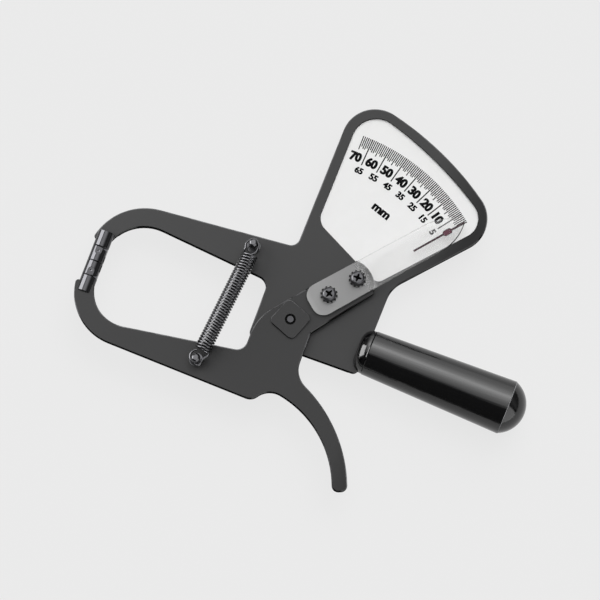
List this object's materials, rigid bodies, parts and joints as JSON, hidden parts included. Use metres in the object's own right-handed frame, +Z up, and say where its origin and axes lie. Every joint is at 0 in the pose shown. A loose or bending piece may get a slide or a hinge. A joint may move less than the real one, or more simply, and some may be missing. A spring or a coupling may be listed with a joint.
{
  "type": "skinfold caliper",
  "caption": "Hand-held skinfold caliper: curved jaws with swivelling round tips, a tension spring, a fan-shaped millimetre dial with a clear pointer, a trigger and a handle.",
  "frame": {"origin": "pivot axis at the frame plate's flat back face", "axes": "+X along the tool from the tips to the handle, +Y across it towards the dial, +Z up out of the dial"},
  "size_m": [0.2321, 0.191, 0.0276],
  "materials": {
    "black_plate": "satin black enamel",
    "dial_print": "white sheet printed with a black scale in millimetres",
    "dark_steel": "blackened steel",
    "bearing": "plain turned bronze",
    "clear_blade": "clear acrylic with a dark red hairline",
    "black_screw": "black oxide",
    "tip_metal": "dark grey coated metal",
    "spring_wire": "blackened spring wire",
    "black_handle": "glossy black",
    "inner_core": "plain moulded"
  },
  "bodies": {
    "frame": {"frame_plate": "black_plate", "dial_face": "dial_print", "pivot_pin": "dark_steel", "thrust_washer": "bearing", "pivot_cover_plate": "dark_steel", "upper_tip_stub": "tip_metal", "upper_spring_post": "dark_steel", "handle_collar": "black_handle", "handle_core": "inner_core", "handle_grip": "black_handle", "handle_end_cap": "black_handle", "handle_rivets": "dark_steel"},
    "arm": {"moving_arm": "black_plate", "pivot_bush": "bearing", "pointer_blade": "clear_blade", "pointer_screws": "black_screw", "pointer_lock_washers": "black_screw", "lower_tip_stub": "tip_metal", "lower_spring_post": "dark_steel"},
    "upper_pad": {"upper_tip_pad": "tip_metal", "upper_pad_pin": "dark_steel"},
    "lower_pad": {"lower_tip_pad": "tip_metal", "lower_pad_pin": "dark_steel"},
    "spring": {"tension_spring": "spring_wire"},
    "spring_tail": {"spring_lower_hook": "spring_wire"}
  },
  "joints": [
    {"name": "jaw_pivot", "type": "hinge", "parent": "frame", "child": "arm", "pos_m": [0, 0, 0], "axis": [0, 0, 1], "range_deg": [0, 33.5], "stiffness_Nm_per_rad": 0.3, "springref_deg": -100.27},
    {"name": "upper_pad_swivel", "type": "hinge", "parent": "frame", "child": "upper_pad", "pos_m": [-0.1019, -0.00015, 0.00325], "axis": [0, 0, 1], "range_deg": [0, 16.75]},
    {"name": "lower_pad_swivel", "type": "hinge", "parent": "arm", "child": "lower_pad", "pos_m": [-0.1019, -0.01055, 0.00325], "axis": [0, 0, 1], "range_deg": [-16.75, 0]},
    {"name": "spring_swing", "type": "hinge", "parent": "frame", "child": "spring", "pos_m": [-0.0302, 0.0291, 0.011], "axis": [0, 0, 1], "range_deg": [0, 19.37], "deforming": ["tension_spring"]},
    {"name": "spring_stretch", "type": "slide", "parent": "spring", "child": "spring_tail", "axis": [-0.104, -0.9946, 0], "range_m": [0, 0.01641], "deforming": ["spring_lower_hook"]}
  ],
  "couplings": [
    {"joint": "upper_pad_swivel", "follows": "jaw_pivot", "ratio": 0.5},
    {"joint": "lower_pad_swivel", "follows": "jaw_pivot", "ratio": -0.5},
    {"joint": "spring_swing", "follows": "jaw_pivot", "ratio": 0.57832},
    {"joint": "spring_stretch", "follows": "jaw_pivot", "m_per_rad": 0.028061}
  ]
}
